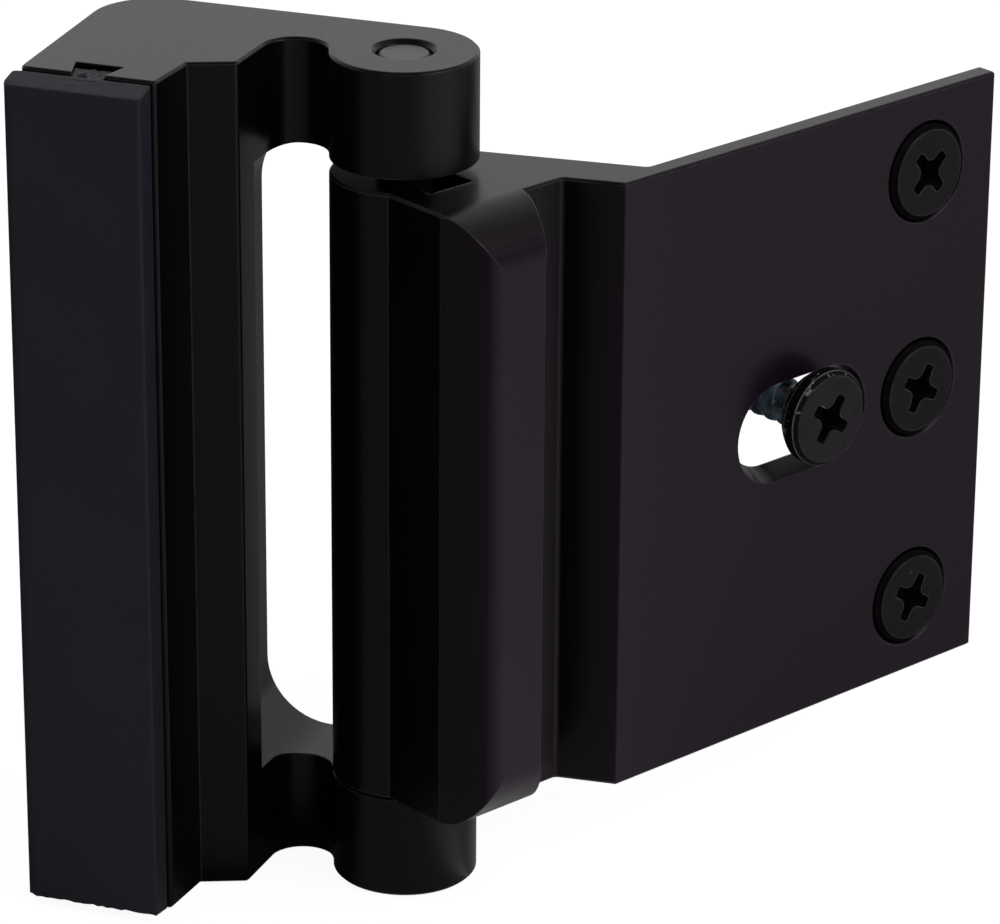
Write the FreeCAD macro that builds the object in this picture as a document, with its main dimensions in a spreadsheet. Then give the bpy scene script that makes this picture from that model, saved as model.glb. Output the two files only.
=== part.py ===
import FreeCAD, Part
import math
import os
import Sketcher

from FreeCAD import Placement, Rotation, Vector

# Door reinforcement lock: a swing arm on a spring-loaded hinge, held by a bracket screwed to the door jamb.
# Millimetres. X runs along the bracket's plate, +Y points into the jamb and +Z is up.
# The origin lies on the mounting face, at the middle jamb screw.
# Plan sketches are drawn from the hinge axis, the datum that the bracket, the pin and the arm share.

sizes = {
    # Hinge
    "knuckle_radius": 6.35,
    "pin_diameter": 4.76,
    "pin_recess": 0.3,
    "pin_bevel": 0.35,
    "pin_clearance": 0.05,
    "bore_bevel": 0.4,
    "pull_travel": 3.2,
    "spring_thickness": 0.4,
    "spring_end_gap": 3.05,
    "spring_clearance": 0.2,
    # Bracket, in plan from the hinge axis
    "bracket_height": 56.1,
    "jamb_offset": 12.8,
    "plate_thickness": 2.0,
    "plate_reach": 56.7,
    "web_angle": 56.5,
    "web_thickness": 4.73,
    "bend_radius": 0.6,
    "edge_round": 0.25,
    "groove_depth": 4.6,
    "groove_corner": 0.5,
    "hump_side": 5.08,
    "hump_root": 4.4,
    "hump_wall_lean": 1.5,
    "hump_nose": 3.36,
    "hump_nose_radius": 2.8,
    "hump_crease": 4.4,
    "hump_relief": 1.0,
    # Jamb screws and their holes
    "screw_margin": 8.5,
    "screw_end_margin": 7.45,
    "countersink_diameter": 9.55,
    "countersink_angle": 82.0,
    "screw_head_diameter": 8.75,
    "screw_rim": 0.9,
    "screw_diameter": 4.17,
    "screw_length": 16.0,
    "screw_point": 4.0,
    "screw_seat_gap": 0.03,
    "recess_width": 1.1,
    "recess_span": 4.6,
    "recess_depth": 2.0,
    "top_screw_turn": 45.0,
    "middle_screw_turn": 20.0,
    "bottom_screw_turn": 25.0,
    # Adjusting slot and its screw
    "slot_offset": 14.6,
    "slot_height": 0.4,
    "slot_width": 7.4,
    "slot_travel": 6.5,
    "slot_taper": 25.4,
    "slot_screw_stand": 3.5,
    "slot_screw_gap": 0.1,
    "slot_screw_turn": 25.0,
    # Swing arm, from the hinge axis: a runs out along the arm, b towards its bumper side
    "arm_height": 76.2,
    "arm_angle": 119.5,
    "arm_reach": 28.4,
    "arm_face": 15.0,
    "arm_back_round": 5.75,
    "arm_edge": 0.8,
    "arm_lift": 0.1,
    "end_play": 1.3,
    "window_reach": 15.37,
    "window_corner": 6.0,
    "window_depth": 11.2,
    "window_mouth": 9.2,
    "scoop_radius": 2.8,
    "hook_rake": 3.5,
    "hook_top": 7.97,
    "hook_tip": 0.45,
    "ridge_slope": 22.2,
    "ledge_reach": 15.69,
    "ledge_lean": 0.6,
    "rim_break": 0.2,
    # Bumper pad and its dovetail
    "dovetail_line": 22.25,
    "dovetail_mouth": 2.9,
    "dovetail_base": 4.4,
    "dovetail_depth": 2.65,
    "pad_gap": 0.1,
    "pad_thickness": 2.9,
    "pad_inset": 0.2,
    "pad_overhang": 0.4,
    "pad_drop": 0.15,
    "pad_slant": 0.5,
    "pad_round": 1.0,
    "pad_near_round": 0.3,
    "tongue_depth": 1.9,
    "tongue_gap": 0.15,
}

doc = FreeCAD.newDocument("door_reinforcement_lock")
sheet = doc.addObject("Spreadsheet::Sheet", "Sizes")
for row, (alias, number) in enumerate(sizes.items(), start=1):
    sheet.set(f"A{row}", alias)
    sheet.set(f"B{row}", str(number))
    sheet.setAlias(f"B{row}", alias)
doc.recompute()


class Size:
    """A length or an angle that carries both its number and the sheet expression behind it."""

    def __init__(self, number, text):
        self.number = number
        self.text = text

    def __add__(self, other):
        other = as_size(other)
        return Size(self.number + other.number, f"({self.text} + {other.text})")

    def __sub__(self, other):
        other = as_size(other)
        return Size(self.number - other.number, f"({self.text} - {other.text})")

    def __mul__(self, other):
        other = as_size(other)
        return Size(self.number * other.number, f"({self.text} * {other.text})")

    def __truediv__(self, other):
        other = as_size(other)
        return Size(self.number / other.number, f"({self.text} / {other.text})")

    def __neg__(self):
        return Size(-self.number, f"(0 - {self.text})")


def as_size(value):
    return value if isinstance(value, Size) else Size(float(value), str(value))


def named(alias):
    return Size(sizes[alias], f"Sizes.{alias}")


def sine(angle):
    return Size(math.sin(math.radians(angle.number)), f"sin({angle.text})")


def cosine(angle):
    return Size(math.cos(math.radians(angle.number)), f"cos({angle.text})")


def tangent(angle):
    return Size(math.tan(math.radians(angle.number)), f"tan({angle.text})")


def root(square):
    return Size(math.sqrt(square.number), f"sqrt({square.text})")


def bind(item, property_path, size):
    item.setExpression(property_path, as_size(size).text)


# Sketches


def origin_feature(body, role):
    return next(feature for feature in body.Origin.OriginFeatures if feature.Role == role)


def new_body(label, x=0, y=0, z=0, turn=None):
    """Makes a body at x, y, z, turned about the vertical by an angle."""
    body = doc.addObject("PartDesign::Body", label)
    body.Label = label
    for axis, size in zip("xyz", (x, y, z)):
        bind(body, f"Placement.Base.{axis}", size)
    if turn is not None:
        bind(body, "Placement.Rotation.Angle", turn)
    return body


def new_sketch(body, name, plane="XY_Plane", offset=None, shift=None, turn=None):
    """Attaches a sketch to an origin plane; offset lifts it along the normal, shift moves its origin up."""
    sketch = body.newObject("Sketcher::SketchObject", name)
    sketch.AttachmentSupport = [(origin_feature(body, plane), "")]
    sketch.MapMode = "FlatFace"
    if offset is not None:
        bind(sketch, "AttachmentOffset.Base.z", offset)
    if shift is not None:
        bind(sketch, "AttachmentOffset.Base.y", shift)
    if turn is not None:
        bind(sketch, "AttachmentOffset.Rotation.Angle", turn)
    return sketch


def add_datum(sketch, constraint, size):
    """Adds a dimension to a sketch and binds it to its expression."""
    index = sketch.addConstraint(constraint)
    bind(sketch, f"Constraints[{index}]", size)


def pin_point(sketch, geometry, end, x, y):
    """Dimensions one end of a line or arc from the sketch's origin."""
    add_datum(sketch, Sketcher.Constraint("DistanceX", -1, 1, geometry, end, x.number), x)
    add_datum(sketch, Sketcher.Constraint("DistanceY", -1, 1, geometry, end, y.number), y)


def line(sketch, start, end):
    return sketch.addGeometry(Part.LineSegment(start, end), False)


def draw_outline(sketch, corners):
    """Draws a closed outline, anticlockwise, fully dimensioned from the sketch's origin.

    A corner is (x, y), or (x, y, {"round": radius}) where the two lines meet in a fillet, or
    (x, y, {"centre": (x, y), "hollow": bool}) where an arc leads to the next corner.
    """
    corners = [(as_size(x), as_size(y), options[0] if options else {}) for x, y, *options in corners]
    points = [Vector(x.number, y.number, 0) for x, y, _ in corners]
    count = len(corners)

    def leg(index, towards):
        """The point where a corner's fillet leaves the leg towards a neighbour, or the corner itself."""
        radius = corners[index][2].get("round")
        if radius is None:
            return points[index]
        back = (points[index - 1] - points[index]).normalize()
        ahead = (points[(index + 1) % count] - points[index]).normalize()
        setback = as_size(radius).number / math.tan(back.getAngle(ahead) / 2)
        return points[index] + (ahead if towards == "ahead" else back) * setback

    edges = []
    for index, (x, y, options) in enumerate(corners):
        following = (index + 1) % count
        start = leg(index, "ahead")
        end = leg(following, "back")
        if "centre" not in options:
            edges.append((line(sketch, start, end), 1, 2))
            continue
        centre = Vector(*(as_size(place).number for place in options["centre"]))
        hollow = options.get("hollow", False)
        arc = add_arc(sketch, centre, end, start) if hollow else add_arc(sketch, centre, start, end)
        edges.append((arc, 2, 1) if hollow else (arc, 1, 2))

    for index, (x, y, options) in enumerate(corners):
        before, _, before_end = edges[index - 1]
        after, after_start, _ = edges[index]
        radius = options.get("round")
        if radius is None:
            sketch.addConstraint(Sketcher.Constraint("Coincident", before, before_end, after, after_start))
            pin_point(sketch, after, after_start, x, y)
            continue
        add_fillet(sketch, points[index], (before, before_end), (after, after_start), as_size(radius))
        vertex = sketch.addGeometry(Part.Point(points[index]), True)
        pin_point(sketch, vertex, 1, x, y)
        sketch.addConstraint(Sketcher.Constraint("PointOnObject", vertex, 1, before))
        sketch.addConstraint(Sketcher.Constraint("PointOnObject", vertex, 1, after))

    # An arc's ends are placed by now, so one place of its centre, across its chord, is all it still needs.
    for index, ((geometry, _, _), (_, _, options)) in enumerate(zip(edges, corners)):
        if "centre" in options:
            chord = points[(index + 1) % count] - points[index]
            which, kind = (1, "DistanceY") if abs(chord.x) > abs(chord.y) else (0, "DistanceX")
            place = as_size(options["centre"][which])
            add_datum(sketch, Sketcher.Constraint(kind, -1, 1, geometry, 3, place.number), place)


def add_arc(sketch, centre, start, end):
    """Adds an arc that runs anticlockwise about its centre."""
    angles = [math.atan2((point - centre).y, (point - centre).x) for point in (start, end)]
    circle = Part.Circle(centre, Vector(0, 0, 1), (start - centre).Length)
    return sketch.addGeometry(Part.ArcOfCircle(circle, angles[0], angles[1]), False)


def add_fillet(sketch, vertex, before, after, radius):
    """Joins two lines by a tangent arc, whichever way the outline turns there."""
    start = sketch.getPoint(*before)
    end = sketch.getPoint(*after)
    back = (start - vertex).normalize()
    ahead = (end - vertex).normalize()
    half_angle = back.getAngle(ahead) / 2
    centre = vertex + (back + ahead).normalize() * (radius.number / math.sin(half_angle))
    turns_left = back.cross(ahead).z < 0
    arc = add_arc(sketch, centre, start, end) if turns_left else add_arc(sketch, centre, end, start)
    start_end, finish_end = (1, 2) if turns_left else (2, 1)
    sketch.addConstraint(Sketcher.Constraint("Tangent", before[0], before[1], arc, start_end))
    sketch.addConstraint(Sketcher.Constraint("Tangent", after[0], after[1], arc, finish_end))
    add_datum(sketch, Sketcher.Constraint("Radius", arc, radius.number), radius)


def draw_rectangle(sketch, left, bottom, right, top):
    draw_outline(sketch, [(left, bottom), (right, bottom), (right, top), (left, top)])


def draw_circle(sketch, x, y, radius):
    x, y, radius = as_size(x), as_size(y), as_size(radius)
    centre = Vector(x.number, y.number, 0)
    circle = sketch.addGeometry(Part.Circle(centre, Vector(0, 0, 1), radius.number), False)
    pin_point(sketch, circle, 3, x, y)
    add_datum(sketch, Sketcher.Constraint("Radius", circle, radius.number), radius)


def draw_stadium(sketch, half_travel, radius):
    """Draws a slot's outline about the sketch's origin, with round ends."""
    left, right = -half_travel, half_travel
    draw_outline(sketch, [
        (left, -radius),
        (right, -radius, {"centre": (right, 0)}),
        (right, radius),
        (left, radius, {"centre": (left, 0)}),
    ])


# Features


def finish_feature(body, feature):
    body.Tip = feature
    doc.recompute()
    return feature


def pad(body, sketch, length, symmetric=False):
    feature = body.newObject("PartDesign::Pad", f"{sketch.Name}_pad")
    feature.Profile = sketch
    bind(feature, "Length", length)
    if symmetric:
        feature.SideType = "Symmetric"
    return finish_feature(body, feature)


def pocket(body, sketch, length=None, reverse=False, symmetric=False):
    """Cuts a sketch out of a body, through all of it where no length is given."""
    before = body.Shape.Volume
    feature = body.newObject("PartDesign::Pocket", f"{sketch.Name}_pocket")
    feature.Profile = sketch
    feature.Reversed = reverse
    if length is None:
        feature.Type = "ThroughAll"
    else:
        bind(feature, "Length", length)
    if symmetric:
        feature.SideType = "Symmetric"
    finish_feature(body, feature)
    if not body.Shape.Volume < before:
        raise RuntimeError(f"{feature.Name} cuts nothing")
    return feature


def turned(body, sketch, kind, axis):
    """Revolves a half profile about one of its sketch's own axes."""
    feature = body.newObject(f"PartDesign::{kind}", f"{sketch.Name}_{kind.lower()}")
    feature.Profile = sketch
    feature.ReferenceAxis = (sketch, [axis])
    feature.Angle = 360
    return finish_feature(body, feature)


def rims_of(shape, height, radius=None):
    """Names the edges around a body's two end faces, or only the round ones of a given radius."""
    tolerance = 1e-4
    names = []
    for number, edge in enumerate(shape.Edges, start=1):
        heights = [vertex.Point.z for vertex in edge.Vertexes]
        level = any(all(abs(place - end) < tolerance for place in heights) for end in (0, height.number))
        if radius is None:
            fits = True
        else:
            fits = isinstance(edge.Curve, Part.Circle) and abs(edge.Curve.Radius - radius.number) < tolerance
        if level and fits:
            names.append(f"Edge{number}")
    return names


def dress(body, kind, base, names, size):
    """Bevels or rounds the named edges of a feature by one size."""
    if not names:
        raise RuntimeError(f"{body.Label} has no edge for its {kind.lower()}")
    feature = body.newObject(f"PartDesign::{kind}", f"{base.Name}_{kind.lower()}")
    feature.Base = (base, names)
    bind(feature, "Radius" if kind == "Fillet" else "Size", size)
    return finish_feature(body, feature)


# Shared places and fits

knuckle_radius = named("knuckle_radius")
bracket_height = named("bracket_height")
arm_height = named("arm_height")
window_height = bracket_height + named("arm_lift") + named("end_play")
knuckle_height = (arm_height - window_height) / 2
screw_line = named("plate_reach") - named("screw_margin")
screw_pitch = bracket_height / 2 - named("screw_end_margin")
slot_line = screw_line - named("slot_offset")
hinge_x = -screw_line
hinge_y = named("jamb_offset")
bracket_bottom = -bracket_height / 2
arm_bottom = bracket_bottom - named("arm_lift") - knuckle_height
pin_radius = named("pin_diameter") / 2
bore_radius = pin_radius + named("pin_clearance")
spring_wall = named("pull_travel") + pin_radius + named("spring_thickness") + named("pin_clearance")
plate_back = -named("jamb_offset")
plate_front = plate_back - named("plate_thickness")
plate_front_row = -named("plate_thickness")
head_slope = tangent(named("countersink_angle") / 2)
spill = as_size(1)
jamb_screw_rows = {"top": 1, "middle": 0, "bottom": -1}


# Bracket


def web_line(y, distance):
    """The x at which a line, parallel to the web and so far from the hinge axis, reaches y."""
    return (distance - y * cosine(named("web_angle"))) / sine(named("web_angle"))


def make_bracket():
    body = new_body("jamb_bracket", hinge_x, hinge_y, bracket_bottom)
    web_front = knuckle_radius - named("web_thickness")
    floor = plate_front + named("groove_depth")
    side = named("hump_side")
    side_top = -root(knuckle_radius * knuckle_radius - side * side)
    edge = named("edge_round")

    profile = new_sketch(body, "bracket_profile")
    draw_outline(profile, [
        (-side, plate_front + named("hump_crease")),
        (-named("hump_nose"), plate_front, {"round": named("hump_nose_radius")}),
        (named("hump_root") - named("hump_wall_lean"), plate_front, {"round": edge}),
        (named("hump_root"), floor),
        (web_line(floor, web_front), floor, {"round": named("groove_corner")}),
        (web_line(plate_front, web_front), plate_front, {"round": edge}),
        (named("plate_reach"), plate_front, {"round": edge}),
        (named("plate_reach"), plate_back, {"round": edge}),
        (web_line(plate_back, knuckle_radius), plate_back, {"round": named("bend_radius")}),
        (knuckle_radius * sine(named("web_angle")), knuckle_radius * cosine(named("web_angle")),
         {"centre": (0, 0)}),
        (-side, side_top),
    ])
    block = pad(body, profile, bracket_height)
    dress(body, "Chamfer", block, rims_of(block.Shape, bracket_height), named("rim_break"))

    make_pin_slot(body)
    round_hump_ends(body, floor)
    sink_screw_holes(body)
    cut_adjusting_slot(body)
    return body


def make_pin_slot(body):
    """The pin's bore runs on towards the plate's front, with a flat end wall for the spring."""
    sketch = new_sketch(body, "pin_slot")
    draw_outline(sketch, [
        (-bore_radius, -spring_wall),
        (bore_radius, -spring_wall),
        (bore_radius, 0, {"centre": (0, 0)}),
        (-bore_radius, 0),
    ])
    pocket(body, sketch, reverse=True)


def round_hump_ends(body, floor):
    """The hump's two ends are rounded over, to clear the round corners of the arm's window."""
    radius = named("window_corner") - named("hump_relief")
    inner = plate_front + radius
    outer = plate_front - spill
    width = named("hump_side") + named("hump_root") + spill * 2
    low = new_sketch(body, "hump_end_low", "YZ_Plane", named("hump_root") + spill)
    draw_outline(low, [
        (outer, -spill),
        (inner, -spill),
        (inner, 0, {"centre": (inner, radius), "hollow": True}),
        (plate_front, radius),
        (outer, radius),
    ])
    pocket(body, low, width)
    high = new_sketch(body, "hump_end_high", "YZ_Plane", named("hump_root") + spill)
    draw_outline(high, [
        (outer, bracket_height - radius),
        (plate_front, bracket_height - radius,
         {"centre": (inner, bracket_height - radius), "hollow": True}),
        (inner, bracket_height),
        (inner, bracket_height + spill),
        (outer, bracket_height + spill),
    ])
    pocket(body, high, width)


def sink_screw_holes(body):
    """A row of countersunk holes, each one the same cone cut right through the thin plate."""
    mouth = named("countersink_diameter") / 2
    throat = mouth - named("plate_thickness") * head_slope
    cone = new_sketch(body, "countersink", "YZ_Plane", screw_line, named("screw_end_margin"))
    draw_outline(cone, [
        (plate_front, 0),
        (plate_back, 0),
        (plate_back, throat),
        (plate_front, mouth),
    ])
    before = body.Shape.Volume
    hole = turned(body, cone, "Groove", "H_Axis")
    row = body.newObject("PartDesign::LinearPattern", "countersink_row")
    row.Originals = [hole]
    row.Direction = (origin_feature(body, "Z_Axis"), [""])
    bind(row, "Length", screw_pitch * 2)
    row.Occurrences = len(jamb_screw_rows)
    finish_feature(body, row)
    if not body.Shape.Volume < before:
        raise RuntimeError("the countersinks cut nothing")


def cut_adjusting_slot(body):
    """The slot's walls slope like a screw head's cone, from the wide front to the narrow back."""
    radius = named("slot_width") / 2
    widening = named("plate_thickness") * tangent(named("slot_taper"))
    outlines = []
    mouths = (("slot_front", plate_front, radius + widening), ("slot_back", plate_back, radius))
    for name, depth, reach in mouths:
        sketch = new_sketch(body, name, "XZ_Plane", -depth)
        bind(sketch, "AttachmentOffset.Base.x", slot_line)
        bind(sketch, "AttachmentOffset.Base.y", bracket_height / 2 + named("slot_height"))
        draw_stadium(sketch, named("slot_travel") / 2, reach)
        outlines.append(sketch)
    before = body.Shape.Volume
    loft = body.newObject("PartDesign::SubtractiveLoft", "adjusting_slot")
    loft.Profile = outlines[0]
    loft.Sections = [outlines[1]]
    loft.Ruled = True
    finish_feature(body, loft)
    if not body.Shape.Volume < before:
        raise RuntimeError("the adjusting slot cuts nothing")


# Swing arm


def make_arm():
    body = new_body("swing_arm", hinge_x, hinge_y, arm_bottom, named("arm_angle"))
    reach = named("arm_reach")
    face = named("arm_face")
    scoop = named("scoop_radius")
    rake = named("hook_rake")
    slope = named("ridge_slope")
    ledge = named("ledge_reach")

    # The scoop runs smoothly into the knuckle, so the two circles' centres are both radii apart.
    spread = knuckle_radius + scoop
    scoop_out = root(spread * spread - scoop * scoop)
    share = knuckle_radius / spread
    wall_start = (scoop_out + scoop * cosine(rake), scoop - scoop * sine(rake))
    hook_top = named("hook_top")
    hook_out = wall_start[0] + (hook_top - wall_start[1]) * tangent(rake)
    ridge_end = hook_top + (ledge - hook_out) * tangent(slope)

    profile = new_sketch(body, "arm_profile")
    draw_outline(profile, [
        (0, -knuckle_radius),
        (reach, -knuckle_radius, {"round": named("arm_back_round")}),
        (reach, face, {"round": named("arm_edge")}),
        (ledge + named("ledge_lean"), face, {"round": named("arm_edge") / 2}),
        (ledge, ridge_end),
        (hook_out, hook_top, {"round": named("hook_tip")}),
        (wall_start[0], wall_start[1], {"centre": (scoop_out, scoop), "hollow": True}),
        (scoop_out * share, scoop * share, {"centre": (0, 0)}),
    ])
    blank = pad(body, profile, arm_height)

    dress(body, "Chamfer", blank, rims_of(blank.Shape, arm_height), named("rim_break"))

    cut_window(body)
    cut_dovetail(body)

    bore = new_sketch(body, "pin_bore")
    draw_circle(bore, 0, 0, bore_radius)
    drilled = pocket(body, bore, reverse=True)
    mouths = rims_of(drilled.Shape, arm_height, bore_radius)
    dress(body, "Chamfer", drilled, mouths, named("bore_bevel"))
    return body


def cut_window(body):
    """The window is milled from the back, stops short of the hook and opens through beside the knuckles."""
    low = knuckle_height
    high = knuckle_height + window_height
    inside = -knuckle_radius - spill
    milled = new_sketch(body, "window", "XZ_Plane", knuckle_radius)
    draw_outline(milled, [
        (inside, low),
        (named("window_reach"), low, {"round": named("window_corner")}),
        (named("window_reach"), high, {"round": named("window_corner")}),
        (inside, high),
    ])
    pocket(body, milled, named("window_depth"))
    opened = new_sketch(body, "window_mouth", "XZ_Plane", knuckle_radius)
    draw_rectangle(opened, inside, low, named("window_mouth"), high)
    pocket(body, opened)


def cut_dovetail(body):
    middle = named("dovetail_line")
    mouth = named("dovetail_mouth") / 2
    base = named("dovetail_base") / 2
    floor = named("arm_face") - named("dovetail_depth")
    flare = (base - mouth) / named("dovetail_depth")
    brim = mouth - flare * spill
    sketch = new_sketch(body, "dovetail")
    draw_outline(sketch, [
        (middle - base, floor),
        (middle + base, floor),
        (middle + brim, named("arm_face") + spill),
        (middle - brim, named("arm_face") + spill),
    ])
    pocket(body, sketch, reverse=True)


# Bumper pad


def make_pad():
    height = arm_height - named("pad_drop") * 2
    body = new_body("bumper_pad", hinge_x, hinge_y, arm_bottom + named("pad_drop"), named("arm_angle"))
    near = named("ledge_reach") + named("ledge_lean") + named("pad_inset")
    far = named("arm_reach") + named("pad_overhang")
    back = named("arm_face") + named("pad_gap")
    front = back + named("pad_thickness")
    middle = named("dovetail_line")
    flare = (named("dovetail_base") - named("dovetail_mouth")) / 2 / named("dovetail_depth")
    neck = named("dovetail_mouth") / 2 - named("tongue_gap") - flare * named("pad_gap")
    tip = named("dovetail_mouth") / 2 + flare * named("tongue_depth") - named("tongue_gap")
    tongue_end = named("arm_face") - named("tongue_depth")

    profile = new_sketch(body, "pad_profile")
    draw_outline(profile, [
        (near, back, {"round": named("pad_near_round")}),
        (middle - neck, back),
        (middle - tip, tongue_end),
        (middle + tip, tongue_end),
        (middle + neck, back),
        (far, back, {"round": named("pad_round") / 2}),
        (far, front, {"round": named("pad_round")}),
        (near, front, {"round": named("pad_near_round")}),
    ])
    pad(body, profile, height)

    # Both ends are cut on a slant, so that its front is a little shorter than its back.
    slant = named("pad_slant") / named("pad_thickness")
    brim = front + spill
    fall = slant * (brim - back)
    trimmed = new_sketch(body, "upper_end_cut", "YZ_Plane")
    draw_outline(trimmed, [
        (back, height),
        (brim, height - fall),
        (brim, height),
    ])
    pocket(body, trimmed, reverse=True)
    lower = new_sketch(body, "lower_end_cut", "YZ_Plane")
    draw_outline(lower, [
        (back, 0),
        (brim, 0),
        (brim, fall),
    ])
    pocket(body, lower, reverse=True)
    return body


# Hinge pin and spring


def make_pin():
    length = arm_height - named("pin_recess") * 2
    body = new_body("hinge_pin", hinge_x, hinge_y, arm_bottom + named("pin_recess"))
    bevel = named("pin_bevel")
    sketch = new_sketch(body, "pin_profile", "XZ_Plane")
    draw_outline(sketch, [
        (0, 0),
        (pin_radius - bevel, 0),
        (pin_radius, bevel),
        (pin_radius, length - bevel),
        (pin_radius - bevel, length),
        (0, length),
    ])
    turned(body, sketch, "Revolution", "V_Axis")
    return body


def make_spring():
    """A bowed leaf: its ends bear on the slot's flat wall and its middle on the pin."""
    thickness = named("spring_thickness")
    width = (bore_radius - named("spring_clearance")) * 2
    half_length = bracket_height / 2 - named("spring_end_gap")
    heel = named("pin_clearance") - spring_wall
    crown = -pin_radius - named("pin_clearance") - thickness
    rise = crown - heel
    radius = (half_length * half_length + rise * rise) / (rise * 2)
    centre = crown - radius
    outer = radius + thickness
    outer_heel = centre + root(outer * outer - half_length * half_length)

    body = new_body("pin_spring", hinge_x, hinge_y, 0)
    sketch = new_sketch(body, "leaf_profile", "YZ_Plane")
    draw_outline(sketch, [
        (heel, -half_length),
        (outer_heel, -half_length, {"centre": (centre, 0)}),
        (outer_heel, half_length),
        (heel, half_length, {"centre": (centre, 0), "hollow": True}),
    ])
    pad(body, sketch, width, symmetric=True)
    return body


# Screws


def make_screw(label, x, y, z, turn):
    """A flat-head wood screw; local +Z points out of its head, and the head's face is at x, y, z."""
    body = new_body(label, x, y, z)
    body.Placement = Placement(body.Placement.Base, Rotation(Vector(1, 0, 0), 90))
    head = named("screw_head_diameter") / 2
    shank = named("screw_diameter") / 2
    neck = named("screw_rim") + (head - shank) / head_slope
    point_start = named("screw_length") - named("screw_point")
    flat = shank / 8

    profile = new_sketch(body, f"{label}_profile", "XZ_Plane")
    draw_outline(profile, [
        (0, -named("screw_length")),
        (flat, -named("screw_length")),
        (shank, -point_start),
        (shank, -neck),
        (head, -named("screw_rim")),
        (head, 0),
        (0, 0),
    ])
    turned(body, profile, "Revolution", "V_Axis")

    wide = named("recess_width") / 2
    long = named("recess_span") / 2
    cross = new_sketch(body, f"{label}_recess", turn=turn)
    draw_outline(cross, [
        (-wide, -long), (wide, -long), (wide, -wide), (long, -wide),
        (long, wide), (wide, wide), (wide, long), (-wide, long),
        (-wide, wide), (-long, wide), (-long, -wide), (-wide, -wide),
    ])
    pocket(body, cross, named("recess_depth"))
    return body


def make_screws():
    # A jamb screw's rim meets the countersink where the cone is as wide as its head.
    sink = (named("countersink_diameter") - named("screw_head_diameter")) / 2 / head_slope
    head_y = plate_front_row + sink - named("screw_rim") - named("screw_seat_gap")
    screws = []
    for place, row in jamb_screw_rows.items():
        screws.append(make_screw(f"jamb_screw_{place}", as_size(0), head_y, screw_pitch * row,
                                 named(f"{place}_screw_turn")))

    # The adjusting screw is driven part way, close under the slot's upper edge.
    slot_top = named("slot_height") + named("slot_width") / 2
    slot_z = slot_top - named("slot_screw_gap") - named("screw_diameter") / 2
    stand_y = plate_front_row - named("slot_screw_stand")
    screws.append(make_screw("slot_screw", -named("slot_offset"), stand_y, slot_z, named("slot_screw_turn")))
    return screws


parts = [make_bracket(), make_arm(), make_pad(), make_pin(), make_spring()] + make_screws()
doc.recompute()

for item in doc.Objects:
    if "Invalid" in item.State or "Error" in item.State:
        raise RuntimeError(f"{item.Name} is {item.State}")
for part in parts:
    if part.Shape.isNull() or not part.Shape.isValid() or len(part.Shape.Solids) != 1:
        raise RuntimeError(f"{part.Label} is not one sound solid")

os.makedirs("parts", exist_ok=True)
for part in parts:
    part.Shape.exportStep(f"parts/{part.Label}.step")
    box = part.Shape.BoundBox
    extent = f"{box.XLength:.2f} x {box.YLength:.2f} x {box.ZLength:.2f} mm"
    print(f"{part.Label}: {part.Shape.Volume:.1f} mm3, {extent}")
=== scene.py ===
# Door reinforcement lock: a jamb bracket and a hooked swing arm on a sprung pin, with four screws and a
# rubber pad

import math

import bpy
import numpy as np
from mathutils import Matrix, Vector


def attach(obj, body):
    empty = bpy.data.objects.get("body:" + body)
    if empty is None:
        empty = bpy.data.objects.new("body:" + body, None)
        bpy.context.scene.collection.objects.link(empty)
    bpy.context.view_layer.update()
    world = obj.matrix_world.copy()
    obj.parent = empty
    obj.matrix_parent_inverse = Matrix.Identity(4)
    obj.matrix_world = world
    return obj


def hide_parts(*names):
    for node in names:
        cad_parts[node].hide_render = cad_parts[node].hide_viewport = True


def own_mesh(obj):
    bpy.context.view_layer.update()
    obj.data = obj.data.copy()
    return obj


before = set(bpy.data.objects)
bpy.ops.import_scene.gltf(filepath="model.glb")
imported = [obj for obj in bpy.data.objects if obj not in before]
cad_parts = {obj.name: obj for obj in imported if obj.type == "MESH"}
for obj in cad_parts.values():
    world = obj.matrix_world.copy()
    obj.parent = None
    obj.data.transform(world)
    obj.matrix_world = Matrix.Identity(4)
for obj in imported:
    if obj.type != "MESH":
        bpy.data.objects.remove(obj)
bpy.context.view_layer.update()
mm = 0.001


# Camera, floor and light

shot = {
    "place": (-0.3180, -0.3000, 0.1760),
    "aim": (0.6153, 0.6853, -0.38945),
    "roll": -0.40,  # degrees
    "lens": 187.3,
    "sensorWidth": 36.0,
}


# The camera looks along its aim, then is rolled about it
def addCamera(look):
    aim = Vector(look["aim"]).normalized()
    level = aim.cross(Vector((0, 0, 1))).normalized()
    rise = level.cross(aim)
    roll = math.radians(look["roll"])
    right = level * math.cos(roll) - rise * math.sin(roll)
    up = level * math.sin(roll) + rise * math.cos(roll)
    data = bpy.data.cameras.new("photoCamera")
    data.lens = look["lens"]
    data.sensor_width = look["sensorWidth"]
    data.sensor_fit = "HORIZONTAL"
    data.clip_start = 0.01
    camera = bpy.data.objects.new("photoCamera", data)
    camera.matrix_world = Matrix((
        (right.x, up.x, -aim.x, look["place"][0]),
        (right.y, up.y, -aim.y, look["place"][1]),
        (right.z, up.z, -aim.z, look["place"][2]),
        (0, 0, 0, 1),
    ))
    bpy.context.scene.collection.objects.link(camera)
    bpy.context.scene.camera = camera


# Adds one shader node; an input given as a socket is linked, any other value is set on the socket
def putNode(tree, kind, inputs=None, **settings):
    node = tree.nodes.new(kind)
    for name, value in settings.items():
        setattr(node, name, value)
    for key, value in (inputs or {}).items():
        if isinstance(value, bpy.types.NodeSocket):
            tree.links.new(value, node.inputs[key])
        else:
            node.inputs[key].default_value = value
    return node


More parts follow.
